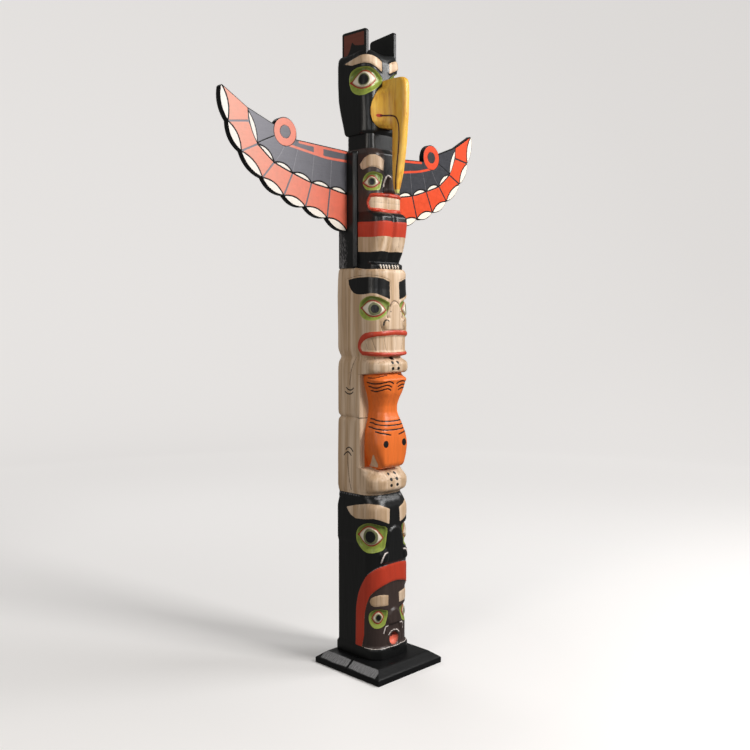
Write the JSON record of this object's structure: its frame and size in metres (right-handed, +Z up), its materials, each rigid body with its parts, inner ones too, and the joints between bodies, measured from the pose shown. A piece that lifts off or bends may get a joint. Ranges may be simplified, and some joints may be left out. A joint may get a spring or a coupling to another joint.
{
  "type": "totem pole",
  "caption": "Carved and painted totem pole with a long-beaked winged bird above a crouching figure, a bear holding a fish and lower faces, on a bevelled square base.",
  "frame": {"origin": "centre of the base's underside, on the floor", "axes": "+Z up the pole; -Y the way the faces and the beak look; X along the wings"},
  "size_m": [1.0632, 0.28, 1.9383],
  "materials": {
    "base": "semi-gloss black paint, worn to grey end grain on the side bevels",
    "pole": "clear-coated bare wood with painted figures in black, red, orange and green",
    "beak": "semi-gloss yellow paint",
    "wings": "satin orange, slate and white paint",
    "ears": "satin black and red-brown paint"
  },
  "bodies": {
    "root": {"base_board_front": "base", "base_board_back": "base", "pole": "pole", "beak": "beak", "wing_right": "wings", "wing_left": "wings", "ear_right": "ears", "ear_left": "ears"}
  },
  "joints": []
}
